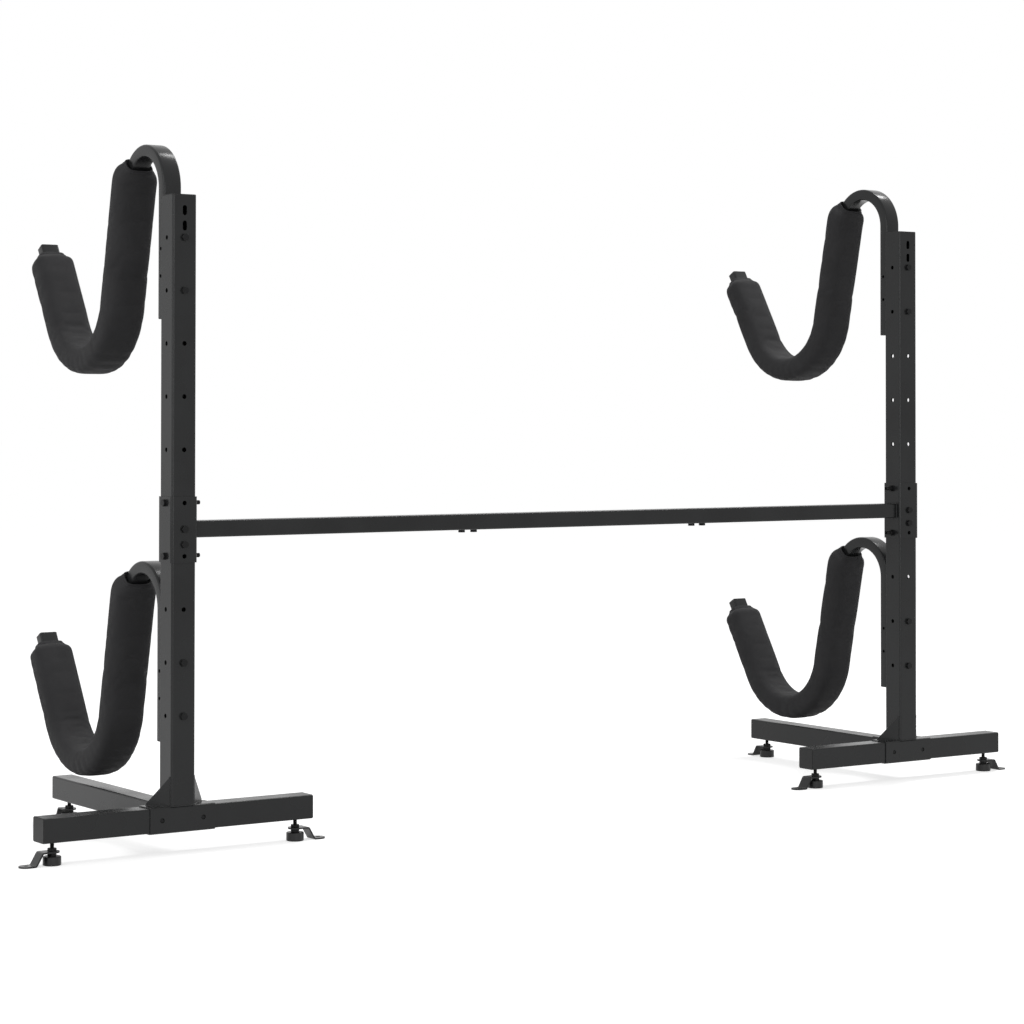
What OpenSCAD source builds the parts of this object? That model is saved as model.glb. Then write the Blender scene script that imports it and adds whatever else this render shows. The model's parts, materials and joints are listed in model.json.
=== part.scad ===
// Freestanding kayak rack: two T-footed frames of square steel tube, a bolted
// crossbar between them and four J hooks in padded sleeves. X runs along the
// crossbar and the hooks reach towards +Y. The origin is on the ground, at the
// middle of the rack's length and depth.

/* [Posts] */
// Distance between the centres of the two posts
frame_gap = 1830; // [1400:10:2200]
// Width of the square post tube
post_w = 50; // [44:1:56]
// Wall of the post tube
post_wall = 2; // [1.5:0.1:3]
// Radius of the post tube's outer corners
post_corner = 4; // [2.5:0.1:6]
// Length of the lower post tube
lower_post_len = 546; // [520:1:580]
// Length of the upper post tube
upper_post_len = 600; // [560:1:640]
// Distance between two rows of holes
row_pitch = 100; // [90:1:105]
// From the joint of the two tubes up to the next row of holes
row_above_joint = 21; // [18:1:23]
// Diameter of the holes for the hook bolts
hole_d = 9; // [8.6:0.1:10]
// Height of a slot in the front and back of a post
slot_len = 19; // [14:1:20]
// From a post tube's top down to its first slot
slot_drop = 28; // [26:1:30]
// Distance between the two slots of a post tube
slot_pitch = 29; // [27:1:31]

/* [Middle sleeve] */
// Wall of the sleeve that joins the two post tubes
mid_wall = 2.5; // [2:0.1:3.5]
// Length of the sleeve
mid_len = 124; // [118:1:132]
// From the joint of the post tubes down to the sleeve's middle
mid_drop = 29; // [27:1:31]

/* [Base] */
// Width of the square leg tube
leg_w = 46; // [42:1:50]
// Wall of the leg tube
leg_wall = 2; // [1.5:0.1:3]
// Radius of the leg tube's outer corners
leg_corner = 3.5; // [2.5:0.1:5]
// Reach of a cross leg from the post's centre
leg_reach = 280; // [240:1:320]
// Reach of the stem leg from the post's centre
stem_reach = 504; // [450:1:600]
// Height of the legs above the ground
leg_lift = 43; // [41:0.5:50]
// Wall of the T sleeve that holds the three legs
base_wall = 1.8; // [1.5:0.1:2.5]
// Half the length of the T sleeve's crosspiece
base_half = 68; // [62:1:80]
// Length of the T sleeve's stem behind the crosspiece
stub_len = 45; // [36:1:60]
// From the post's centre to a cross leg's bolt
base_bolt_x = 43; // [40:1:48]
// Thickness of a gusset plate
gusset_t = 3; // [2:0.1:4]
// Height of a gusset against the post
gusset_h = 54; // [40:1:70]
// Length of a gusset along the T sleeve's top
gusset_run = 46; // [36:1:48]
// Height of a gusset at its toe
gusset_toe = 4; // [2:0.5:8]

/* [Crossbar] */
// Width of the square crossbar tube
bar_w = 32; // [28:1:36]
// Wall of the crossbar tube
bar_wall = 2; // [1.5:0.1:2.5]
// Radius of the crossbar tube's outer corners
bar_corner = 3.4; // [2.5:0.1:4.5]
// Length of the crossbar's middle tube
bar_mid_len = 588; // [480:1:700]
// Length of an inner coupler
coupler_len = 120; // [110:1:160]
// From a seam of the crossbar to the middle of its two bolts
bar_bolt_x = 33; // [30:1:38]
// Distance between the two bolts of a crossbar joint
bar_bolt_pitch = 29; // [24:1:32]

/* [Hooks] */
// Width of the hook tube across the hook
hook_w = 38; // [34:1:42]
// Depth of the hook tube
hook_t = 24; // [20:1:28]
// Wall of the hook tube
hook_wall = 2; // [1.5:0.1:2.5]
// Radius of the hook tube's outer corners
hook_corner = 4; // [2.5:0.1:5]
// Length of the hook's straight leg below its lower bolt
hook_tail = 50; // [30:1:60]
// From the hook's upper bolt up to the centre of its crown
crown_up = 96; // [80:1:130]
// Radius of the crown, on the tube's centre line
crown_r = 77; // [70:1:90]
// Lean of the arm that comes down from the crown
arm_lean = 12; // [6:0.5:16]
// Clearance of the lower pads above the stem legs
cradle_clear = 16.6; // [12:0.2:40]
// Radius of the cradle bend, on the tube's centre line
bend_r = 134; // [120:1:145]
// Lean of the tip arm
tip_lean = 31; // [25:0.5:36]
// Straight length of the tip arm
tip_len = 198; // [160:1:230]
// Diameter of the two vent holes in the hook's sides
vent_d = 7; // [4:0.5:8]
// From the hook's upper bolt down to its first vent hole
vent_drop = 19; // [15:1:25]
// Distance between the two vent holes
vent_pitch = 52; // [45:1:60]

/* [Pads] */
// Width of a padded sleeve across the hook
pad_w = 80; // [66:1:88]
// Depth of a padded sleeve
pad_t = 54; // [46:1:60]
// Squareness of a pad's section: 2 is an oval, more is squarer
pad_square = 6; // [3:1:10]
// Length of the drawn-in part at a pad's ends
pad_taper = 15; // [10:1:24]
// Angle on the crown, above the horizontal, where a pad starts
pad_start = 45; // [30:1:52]
// Bare length of tube left at the hook's tip
tip_bare = 20; // [10:1:40]
// Clearance between a pad and the hook tube
pad_gap = 0.7; // [0.6:0.05:0.8]

/* [Fasteners and caps] */
// Diameter of the bolts and of the levelling studs
bolt_d = 8; // [7.8:0.05:8.2]
// Width across flats of a bolt head or nut
bolt_af = 13; // [12:0.5:14]
// Height of a bolt head
head_h = 5.3; // [4.5:0.1:6]
// Height of a nut
nut_h = 6.5; // [5.5:0.1:7]
// Length of bolt left standing beyond a nut
bolt_past = 2.5; // [1.5:0.5:4]
// Length of the mid sleeve's two side bolts left standing beyond their nuts
side_bolt_past = 11; // [2:0.5:14]
// Clearance between a thread and its nut, on the radius
thread_gap = 0.05; // [0.04:0.01:0.08]
// Clearance of a tube in its sleeve or round a coupler, on each side
tube_gap = 0.2; // [0.1:0.05:0.4]
// Thickness of an end cap's head
cap_t = 2.5; // [1.5:0.1:4]
// Depth of an end cap's plug inside its tube
cap_plug = 12; // [8:1:16]

/* [Feet] */
// Distance of a foot from the end of a cross leg
foot_inset = 25; // [22:1:40]
// Distance of a foot from the end of the stem leg
stem_foot_inset = 30; // [22:1:45]
// Diameter of a foot's cup
cup_d = 34; // [30:1:38]
// Height of a foot's cup
cup_h = 16.5; // [14:0.5:18]
// Depth of the stud's seat in the cup
cup_seat = 11; // [9:0.5:12]
// Width across flats of the nuts on a levelling stud
foot_af = 16; // [15:0.5:17]
// Height of the nut under the anchor strap
foot_nut_h = 6.5; // [5.5:0.1:7.5]
// Height of the lock nut over the anchor strap
lock_nut_h = 5.3; // [4.5:0.1:6]
// Length of a levelling stud above the cup's seat
stud_len = 69.5; // [66:0.5:71]
// Thickness of an anchor strap
strap_t = 3; // [2:0.1:3.5]
// Width of an anchor strap
strap_w = 28; // [24:1:32]
// From the stud to the first bend of the strap
strap_flat = 21; // [20:0.5:26]
// Steepness of the strap's sloping part
strap_slope = 60; // [50:1:70]
// Clearance of the strap's hole round the stud, on the radius
stud_gap = 0.3; // [0.2:0.05:0.6]
// Radius of the strap's two bends, on the centre line
strap_bend = 4; // [3.5:0.1:6]
// From the stud to the anchor hole
anchor_x = 51; // [51:0.5:60]
// Diameter of the anchor hole
anchor_d = 9; // [7:0.5:11]
// From the anchor hole to the strap's end
anchor_end = 14; // [12:0.5:16]

/* [Hidden] */
$fn = 48;
STEEL = "#37383a";
PLASTIC = "#1d1d1e";
FABRIC = "#26262a";
ZINC = "#2a2a2b";
over = 1; // how far a cut runs past the face that it opens

base_w = leg_w + 2 * (tube_gap + base_wall);
base_corner = leg_corner + tube_gap + base_wall / 2;
leg_z = leg_lift + leg_w / 2;
post_z0 = leg_z + base_w / 2;
joint_z = post_z0 + lower_post_len;
post_z1 = joint_z + upper_post_len;
mid_z = joint_z - mid_drop;
mid_w = post_w + 2 * (tube_gap + mid_wall);
mid_corner = post_corner + tube_gap + mid_wall / 2;

// Rows of holes, counted away from the joint of the two post tubes
top_margin = 70;
tail_clear = 55; // of the lowest hook tails above the T sleeve
low_margin = hook_tail + tail_clear;
row_below_joint = row_pitch - row_above_joint;
up_count = 1 + floor((upper_post_len - row_above_joint - top_margin) / row_pitch);
low_count = 1 + floor((lower_post_len - row_below_joint - low_margin) / row_pitch);
up_rows = [for (i = [0:up_count - 1]) joint_z + row_above_joint + i * row_pitch];
low_rows = [for (i = [0:low_count - 1]) joint_z - row_below_joint - i * row_pitch];
upper_hook_row = up_rows[up_count - 1];
lower_hook_row = low_rows[low_count - 2];
slot_zs = [joint_z - slot_drop, joint_z - slot_drop - slot_pitch];

leg_start = 1;
stem_start = leg_w / 2 + 4;
stem_bolt_y = base_w / 2 + stub_len / 2;
foot_x = leg_reach - foot_inset;
stem_foot_y = stem_reach - stem_foot_inset;

// The hook's centre line lies in a plane of (y, z) points, with its upper bolt at
// z = 0. Angles count from +Y to +Z, and s is the length from its lower end.
leg_y = post_w / 2 + hook_t / 2;
arm_dir = arm_lean - 90;
tip_dir = 90 - tip_lean;
crown_turn = 90 - arm_dir;
bend_turn = tip_dir - arm_dir;
function toward(a) = [cos(a), sin(a)];
function arc_len(r, turn) = r * turn * PI / 180;
function arc_turn(r, len) = len / r * 180 / PI;
hook_low = [leg_y, -row_pitch - hook_tail];
crown_c = [leg_y + crown_r, crown_up];
crown_end = crown_c + crown_r * toward(arm_dir + 90);
cradle_low = leg_lift + leg_w + cradle_clear - lower_hook_row;
arm_len = (crown_end.y + bend_r * sin(arm_dir + 90) - bend_r - pad_t / 2 - cradle_low)
    / -sin(arm_dir);
arm_end = crown_end + arm_len * toward(arm_dir);
bend_c = arm_end + bend_r * toward(arm_dir + 90);
bend_end = bend_c + bend_r * toward(tip_dir - 90);
tip_end = bend_end + tip_len * toward(tip_dir);
crown_s = crown_up - hook_low.y;
arm_s = crown_s + arc_len(crown_r, crown_turn);
bend_s = arm_s + arm_len;
tip_s = bend_s + arc_len(bend_r, bend_turn);
hook_len = tip_s + tip_len;
pad_s0 = crown_s + arc_len(crown_r, 180 - pad_start);
pad_s1 = hook_len - tip_bare;

// The rack's depth runs from the sleeve bolts' heads to the hooks' tip caps
front_y = -mid_w / 2 - head_h;
cap_edge = cap_t / 3;
back_y = tip_end.x + (cap_t - cap_edge) * cos(tip_dir) + hook_t / 2 * sin(tip_dir);
origin_y = (front_y + back_y) / 2;

stud_z0 = cup_h - cup_seat;
strap_z = cup_h + foot_nut_h;

SIDES = ["left", "right"];
FEET = ["outer", "inner", "back"];
FRAME_NODES = ["lower_post", "upper_post", "mid_sleeve", "base_sleeve", "leg_outer",
    "leg_inner", "stem_leg", "gussets", "end_caps", "sleeve_bolts", "base_bolts",
    "hook_bolts", "frame_nuts", "hook_upper", "hook_lower", "pad_upper", "pad_lower",
    "hook_caps"];
FOOT_NODES = ["foot_cup", "foot_stud", "anchor_strap"];
BAR_NODES = ["crossbar_left", "crossbar_centre", "crossbar_right", "crossbar_couplers",
    "crossbar_bolts"];

// ---- Sections and sweeps ----

// Rectangle with round corners
module soft_rect(w, h, r) {
    square([w - 2 * r, h], center = true);
    square([w, h - 2 * r], center = true);
    for (x = [-1, 1], y = [-1, 1])
        translate([x * (w / 2 - r), y * (h / 2 - r)]) circle(r = r);
}

// Section of a rectangular tube; its inner corners follow the outer ones
module tube_section(w, h, wall, r) {
    difference() {
        soft_rect(w, h, r);
        soft_rect(w - 2 * wall, h - 2 * wall, max(r - wall, wall / 4));
    }
}

// Turns what stands on the XY plane so that it runs along +X, with its x to +Y
module along_x() {
    rotate([90, 0, 90]) children();
}

// Turns what stands on the XY plane so that it runs along +Y
module along_y() {
    rotate([-90, 0, 0]) children();
}

// ---- Fasteners ----

// Hexagon with its corners turned off at the top face
module hex_block(af, h) {
    intersection() {
        cylinder(d = af / cos(30), h = h, $fn = 6);
        cylinder(r1 = af / 2 + h * tan(60), r2 = af / 2, h = h);
    }
}

// Hexagon with its corners turned off at both faces
module hex_both(af, h) {
    intersection() {
        hex_block(af, h);
        translate([0, 0, h]) mirror([0, 0, 1]) hex_block(af, h);
    }
}

// Bolt whose head stands below z = 0 and whose shank runs up to len
module bolt(len) {
    mirror([0, 0, 1]) hex_block(bolt_af, head_h);
    cylinder(d = bolt_d, h = len - bolt_d / 10);
    translate([0, 0, len - bolt_d / 10])
        cylinder(d1 = bolt_d, d2 = bolt_d * 0.8, h = bolt_d / 10);
}

module nut(af = bolt_af, h = nut_h) {
    difference() {
        hex_both(af, h);
        translate([0, 0, -over]) cylinder(r = bolt_d / 2 + thread_gap, h = h + 2 * over);
    }
}

// Nut welded inside a tube, flat on both faces
module weld_nut() {
    difference() {
        cylinder(d = bolt_af / cos(30), h = nut_h, $fn = 6);
        translate([0, 0, -over]) cylinder(r = bolt_d / 2 + thread_gap, h = nut_h + 2 * over);
    }
}

// Plug cap for a w by h tube; its head lies on z = 0 and its plug hangs below
module tube_cap(w, h, wall, r) {
    linear_extrude(cap_t - cap_edge) soft_rect(w, h, r);
    translate([0, 0, cap_t - cap_edge])
        linear_extrude(cap_edge) soft_rect(w - 2 * cap_edge, h - 2 * cap_edge, r - cap_edge / 2);
    translate([0, 0, -cap_plug]) linear_extrude(cap_plug)
        tube_section(w - 2 * (wall + tube_gap), h - 2 * (wall + tube_gap), wall, max(r - wall, wall / 4));
}

// ---- Posts and sleeves ----

// A post tube between two heights, drilled right through at each row
module post_tube(z0, z1, rows) {
    difference() {
        translate([0, 0, z0]) linear_extrude(z1 - z0)
            tube_section(post_w, post_w, post_wall, post_corner);
        for (z = rows) translate([0, 0, z]) cross_holes(post_w);
        for (i = [0, 1]) translate([0, 0, z1 - slot_drop - i * slot_pitch]) slot_cut();
    }
}

// Holes through all four walls
module cross_holes(w) {
    translate([-w / 2 - over, 0, 0]) along_x() cylinder(d = hole_d, h = w + 2 * over);
    translate([0, -w / 2 - over, 0]) along_y() cylinder(d = hole_d, h = w + 2 * over);
}

// Upright slot through the front and back walls
module slot_cut() {
    flat = slot_len - hole_d;
    translate([0, -post_w / 2 - over, 0]) along_y() linear_extrude(post_w + 2 * over) {
        square([hole_d, flat], center = true);
        for (y = [-flat / 2, flat / 2]) translate([0, y]) circle(d = hole_d);
    }
}

module lower_post() {
    color(STEEL) post_tube(post_z0, joint_z, low_rows);
}

module upper_post() {
    color(STEEL) post_tube(joint_z, post_z1, up_rows);
}

module mid_sleeve() {
    color(STEEL) difference() {
        translate([0, 0, mid_z - mid_len / 2]) linear_extrude(mid_len)
            tube_section(mid_w, mid_w, mid_wall, mid_corner);
        for (z = [up_rows[0], low_rows[0]]) translate([0, 0, z]) cross_holes(mid_w);
        for (z = slot_zs) translate([0, -mid_w / 2 - over, z])
            along_y() cylinder(d = hole_d, h = mid_w + 2 * over);
    }
}

// ---- Base ----

// T sleeve: a crosspiece along X and a stub along +Y, open inside for the legs
module base_sleeve() {
    bore = leg_w + 2 * tube_gap;
    bore_corner = max(base_corner - base_wall, base_wall / 4);
    color(STEEL) difference() {
        union() {
            translate([-base_half, 0, leg_z]) along_x() linear_extrude(2 * base_half)
                soft_rect(base_w, base_w, base_corner);
            translate([0, 0, leg_z]) along_y() linear_extrude(base_w / 2 + stub_len)
                soft_rect(base_w, base_w, base_corner);
        }
        translate([-base_half - over, 0, leg_z]) along_x() linear_extrude(2 * base_half + 2 * over)
            soft_rect(bore, bore, bore_corner);
        translate([0, 0, leg_z]) along_y() linear_extrude(base_w / 2 + stub_len + over)
            soft_rect(bore, bore, bore_corner);
        for (x = [-base_bolt_x, base_bolt_x]) translate([x, -base_w / 2 - over, leg_z])
            along_y() cylinder(d = hole_d, h = base_w + 2 * over);
        translate([-base_w / 2 - over, stem_bolt_y, leg_z])
            along_x() cylinder(d = hole_d, h = base_w + 2 * over);
    }
}

// Leg tube along +X; nut_turn points its bolt's weld nut at the far wall
module leg_tube(start, reach, foot, bolt_at, nut_turn) {
    inner = leg_w / 2 - leg_wall;
    difference() {
        translate([start, 0, leg_z]) along_x() linear_extrude(reach - start)
            tube_section(leg_w, leg_w, leg_wall, leg_corner);
        translate([foot, 0, leg_lift - over]) cylinder(d = hole_d, h = leg_wall + 2 * over);
        translate([bolt_at, -leg_w / 2 - over, leg_z])
            along_y() cylinder(d = hole_d, h = leg_w + 2 * over);
    }
    translate([foot, 0, leg_lift + leg_wall]) weld_nut();
    translate([bolt_at, nut_turn * inner, leg_z]) rotate([nut_turn * 90, 0, 0]) weld_nut();
}

module leg_inner() {
    color(STEEL) leg_tube(leg_start, leg_reach, foot_x, base_bolt_x, -1);
}

module leg_outer() {
    mirror([1, 0, 0]) leg_inner();
}

module stem_leg() {
    color(STEEL) rotate([0, 0, 90])
        leg_tube(stem_start, stem_reach, stem_foot_y, stem_bolt_y, -1);
}

// Triangular plates from the post's sides, at 45 degrees over the T sleeve
module gussets() {
    root = gusset_t * 4 / 3;
    corner_y = -post_w / 2 + post_corner + gusset_t / sqrt(2);
    color(STEEL) for (s = [-1, 1]) difference() {
        translate([s * post_w / 2, corner_y, post_z0])
            rotate([0, 0, 90 - s * 45]) translate([0, gusset_t / 2, 0]) rotate([90, 0, 0])
                linear_extrude(gusset_t)
                    polygon([[-root, 0], [gusset_run, 0], [gusset_run, gusset_toe], [0, gusset_h],
                        [-root, gusset_h]]);
        translate([-post_w / 2, -post_w / 2, post_z0 - over])
            cube([post_w, post_w, gusset_h + 2 * over]);
    }
}

module end_caps() {
    color(PLASTIC) {
        translate([0, 0, post_z1]) tube_cap(post_w, post_w, post_wall, post_corner);
        for (turn = [[90, leg_reach], [-90, leg_reach], [0, stem_reach]])
            rotate([0, 0, turn[0]]) translate([0, turn[1], leg_z])
                along_y() tube_cap(leg_w, leg_w, leg_wall, leg_corner);
    }
}

// ---- Bolts and nuts of one frame ----

module sleeve_bolts() {
    grip = mid_w + nut_h;
    color(ZINC) {
        for (z = [up_rows[0], low_rows[0]]) translate([-mid_w / 2, 0, z]) along_x()
            bolt(grip + side_bolt_past);
        for (z = slot_zs) translate([0, -mid_w / 2, z]) along_y() bolt(grip + bolt_past);
    }
}

// The cross legs' bolts go in from behind, the stem leg's from the outer side
module base_bolts() {
    len = base_w - over;
    color(ZINC) {
        for (x = [-base_bolt_x, base_bolt_x]) translate([x, base_w / 2, leg_z])
            rotate([90, 0, 0]) bolt(len);
        translate([-base_w / 2, stem_bolt_y, leg_z]) along_x() bolt(len);
    }
}

module hook_bolts() {
    len = post_w + hook_t + nut_h + bolt_past;
    color(ZINC) for (row = [upper_hook_row, lower_hook_row], i = [0, 1])
        translate([0, -post_w / 2, row - i * row_pitch]) along_y() bolt(len);
}

module frame_nuts() {
    color(ZINC) {
        for (z = [up_rows[0], low_rows[0]]) translate([mid_w / 2, 0, z]) along_x() nut();
        for (z = slot_zs) translate([0, mid_w / 2, z]) along_y() nut();
        for (row = [upper_hook_row, lower_hook_row], i = [0, 1])
            translate([0, post_w / 2 + hook_t, row - i * row_pitch]) along_y() nut();
    }
}

// ---- Hooks and pads, swept along the hook's centre line ----

ring_n = 16;
crown_steps = 20;
bend_steps = 18;

// Point and direction of the centre line at the length s
function path_at(s) =
    s < crown_s ? [hook_low + [0, s], 90] :
    s < arm_s ? let (a = 180 - arc_turn(crown_r, s - crown_s))
        [crown_c + crown_r * toward(a), a - 90] :
    s < bend_s ? [crown_end + (s - arm_s) * toward(arm_dir), arm_dir] :
    s < tip_s ? let (a = arm_dir - 90 + arc_turn(bend_r, s - bend_s))
        [bend_c + bend_r * toward(a), a + 90] :
    [bend_end + (s - tip_s) * toward(tip_dir), tip_dir];

// Lengths s where a sweep has its rings: evenly over one stretch
function stops(s0, s1, steps) = [for (i = [0:steps]) s0 + (s1 - s0) * i / steps];

// A section's points, as (across, out of the bend), set square to the path at s
function set_ring(section, s) =
    let (at = path_at(s), out = toward(at[1] - 90))
    [for (p = section) let (q = at[0] + p.y * out) [p.x, q.x, q.y]];

// Rectangle with round corners, four points to a corner
function round_section(half_w, half_t, r) =
    [for (i = [0:ring_n - 1])
        let (corner = floor(i / 4), a = corner * 90 + (i % 4) * 30,
            x = (corner == 0 || corner == 3) ? half_w - r : r - half_w,
            t = corner < 2 ? half_t - r : r - half_t)
        [x, t] + r * toward(a)];

// Cushion-like rectangle: its sides bulge, and a high power makes it squarer
function squared(c, power) = sign(c) * pow(abs(c), 2 / power);
function full_section(half_w, half_t, power) =
    [for (i = [0:ring_n - 1]) let (a = 360 * i / ring_n)
        [half_w * squared(cos(a), power), half_t * squared(sin(a), power)]];

// Closed shell between an outer and an inner skin, each a list of rings
module shell(outer, inner) {
    rings = concat(outer, [for (i = [len(inner) - 1:-1:0]) inner[i]]);
    count = len(rings);
    faces = [for (r = [0:count - 1], i = [0:ring_n - 1])
        let (a = r * ring_n + i,
            b = r * ring_n + (i + 1) % ring_n,
            c = (r + 1) % count * ring_n + (i + 1) % ring_n,
            d = (r + 1) % count * ring_n + i)
        each [[a, b, c], [a, c, d]]];
    polyhedron(points = [for (ring = rings) each ring], faces = faces);
}

// The bent tube, drilled for its two bolts and vented through its sides
module hook_tube() {
    skin = round_section(hook_w / 2, hook_t / 2, hook_corner);
    bore = round_section(hook_w / 2 - hook_wall, hook_t / 2 - hook_wall,
        max(hook_corner - hook_wall, hook_wall / 4));
    at = concat([0], stops(crown_s, arm_s, crown_steps), stops(bend_s, tip_s, bend_steps),
        [hook_len]);
    color(STEEL) difference() {
        shell([for (s = at) set_ring(skin, s)], [for (s = at) set_ring(bore, s)]);
        for (i = [0, 1]) translate([0, post_w / 2 - over, -i * row_pitch])
            along_y() cylinder(d = hole_d, h = hook_t + 2 * over);
        for (i = [0, 1]) translate([-hook_w / 2 - over, leg_y, -vent_drop - i * vent_pitch])
            along_x() cylinder(d = vent_d, h = hook_w + 2 * over);
    }
}

// Caps in the lower end and in the tip of one hook
module hook_cap_pair() {
    color(PLASTIC) {
        translate([0, hook_low.x, hook_low.y]) mirror([0, 0, 1])
            tube_cap(hook_w, hook_t, hook_wall, hook_corner);
        translate([0, tip_end.x, tip_end.y]) rotate([-tip_lean, 0, 0])
            tube_cap(hook_w, hook_t, hook_wall, hook_corner);
    }
}

// Share of a pad's full thickness left at s: a quarter round at each end
end_share = 0.35;
function fullness(s) =
    let (t = max(0, 1 - min(s - pad_s0, pad_s1 - s) / pad_taper))
    end_share + (1 - end_share) * sqrt(1 - t * t);

// Padded sleeve round the tube, drawn in at its ends
module pad_sleeve() {
    tube_w = hook_w / 2 + pad_gap;
    tube_t = hook_t / 2 + pad_gap;
    taper_s = pad_s1 - pad_taper;
    at = concat(stops(pad_s0, arm_s, 6), [arm_s + arm_len / 3, arm_s + arm_len * 2 / 3],
        stops(bend_s, tip_s, bend_steps), [(tip_s + taper_s) / 2],
        [for (i = [0:3]) pad_s1 - pad_taper * pow(1 - i / 3, 1.6)]);
    outer = [for (s = at) let (f = fullness(s))
        set_ring(full_section(tube_w + (pad_w / 2 - tube_w) * f,
            tube_t + (pad_t / 2 - tube_t) * f, pad_square), s)];
    inner = [for (s = at) set_ring(full_section(tube_w, tube_t, 10), s)];
    color(FABRIC) shell(outer, inner);
}

// ---- Crossbar ----

bar_x = frame_gap / 2 - mid_w / 2;
bar_seam = bar_mid_len / 2;
bar_bottom = mid_z - bar_w / 2;
bar_bolts = [for (seam = [-bar_seam, bar_seam], s = [-1, 1])
    seam + bar_bolt_x + s * bar_bolt_pitch / 2];

module bar_tube(x0, x1) {
    color(STEEL) difference() {
        translate([x0, 0, mid_z]) along_x() linear_extrude(x1 - x0)
            tube_section(bar_w, bar_w, bar_wall, bar_corner);
        for (x = bar_bolts) if (x > x0 && x < x1)
            translate([x, 0, bar_bottom - over]) cylinder(d = hole_d, h = bar_wall + 2 * over);
    }
}

// Short tubes inside the seams, with nuts welded over their bolt holes
module crossbar_couplers() {
    outer = bar_w - 2 * (bar_wall + tube_gap);
    floor_z = bar_bottom + bar_wall + tube_gap + bar_wall;
    color(STEEL) for (seam = [-bar_seam, bar_seam]) {
        difference() {
            translate([seam - coupler_len / 2, 0, mid_z]) along_x() linear_extrude(coupler_len)
                tube_section(outer, outer, bar_wall, bar_corner - bar_wall / 2);
            for (x = bar_bolts) translate([x, 0, floor_z - bar_wall - over])
                cylinder(d = hole_d, h = bar_wall + 2 * over);
        }
        for (x = bar_bolts) if (abs(x - seam) < coupler_len / 2)
            translate([x, 0, floor_z]) weld_nut();
    }
}

module crossbar_bolts() {
    len = 2 * bar_wall + tube_gap + nut_h + bolt_past;
    color(ZINC) for (x = bar_bolts) translate([x, 0, bar_bottom]) bolt(len);
}

// ---- Feet: each stands at x = 0 with its strap towards +X ----

module foot_cup() {
    edge = 1;
    r = cup_d / 2;
    seat_r = bolt_d / 2 + thread_gap;
    color(PLASTIC) rotate_extrude()
        polygon([[0, 0], [r - edge, 0], [r, edge], [r, cup_h - edge], [r - edge, cup_h],
            [seat_r, cup_h], [seat_r, stud_z0], [0, stud_z0]]);
}

// Stud with its fixed nut, and the lock nut over the strap
module foot_stud() {
    tip = bolt_d / 10;
    color(ZINC) {
        translate([0, 0, stud_z0]) cylinder(d = bolt_d, h = stud_len - tip);
        translate([0, 0, stud_z0 + stud_len - tip]) cylinder(d1 = bolt_d, d2 = bolt_d * 0.8, h = tip);
        translate([0, 0, cup_h]) hex_both(foot_af, foot_nut_h);
        translate([0, 0, strap_z + strap_t]) nut(foot_af, lock_nut_h);
    }
}

// Points of an arc in a plane, both ends included
function arc_points(c, r, from, turn, steps = 8) =
    [for (i = [0:steps]) c + r * toward(from + turn * i / steps)];

// Bent strap from the stud down to an anchor hole on the ground
module anchor_strap() {
    half = strap_t / 2;
    slope = (strap_z - 2 * strap_bend * (1 - cos(strap_slope))) / sin(strap_slope);
    knee_c = [strap_flat, strap_z + half - strap_bend];
    knee = knee_c + strap_bend * toward(90 - strap_slope);
    heel_c = knee + slope * toward(-strap_slope) + strap_bend * toward(90 - strap_slope);
    end_x = anchor_x + anchor_end;
    side = concat(
        [[-strap_w / 2, strap_z + strap_t]],
        arc_points(knee_c, strap_bend + half, 90, -strap_slope),
        arc_points(heel_c, strap_bend - half, 270 - strap_slope, strap_slope),
        [[end_x, strap_t], [end_x, 0]],
        arc_points(heel_c, strap_bend + half, 270, -strap_slope),
        arc_points(knee_c, strap_bend - half, 90 - strap_slope, strap_slope),
        [[-strap_w / 2, strap_z]]);
    color(STEEL) difference() {
        intersection() {
            translate([0, 0, -over]) linear_extrude(strap_z + strap_t + 2 * over) {
                circle(d = strap_w);
                translate([end_x - strap_w / 2, 0]) circle(d = strap_w);
                translate([0, -strap_w / 2]) square([end_x - strap_w / 2, strap_w]);
            }
            translate([0, strap_w, 0]) rotate([90, 0, 0]) linear_extrude(2 * strap_w)
                polygon(side);
        }
        cylinder(r = bolt_d / 2 + stud_gap, h = strap_z + strap_t + over);
        translate([anchor_x, 0, -over]) cylinder(d = anchor_d, h = strap_t + 2 * over);
    }
}

// ---- Placing ----

module at_origin() {
    translate([0, -origin_y, 0]) children();
}

// Left frame as modelled, right frame as its mirror image
module at_side(side) {
    if (side == "left") translate([-frame_gap / 2, 0, 0]) children();
    else translate([frame_gap / 2, 0, 0]) mirror([1, 0, 0]) children();
}

// Turns a foot so that its strap points away from the post
module at_foot(foot) {
    if (foot == "outer") translate([-foot_x, 0, 0]) rotate([0, 0, 180]) children();
    else if (foot == "inner") translate([foot_x, 0, 0]) children();
    else translate([0, stem_foot_y, 0]) rotate([0, 0, 90]) children();
}

module at_row(z) {
    translate([0, 0, z]) children();
}

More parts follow.
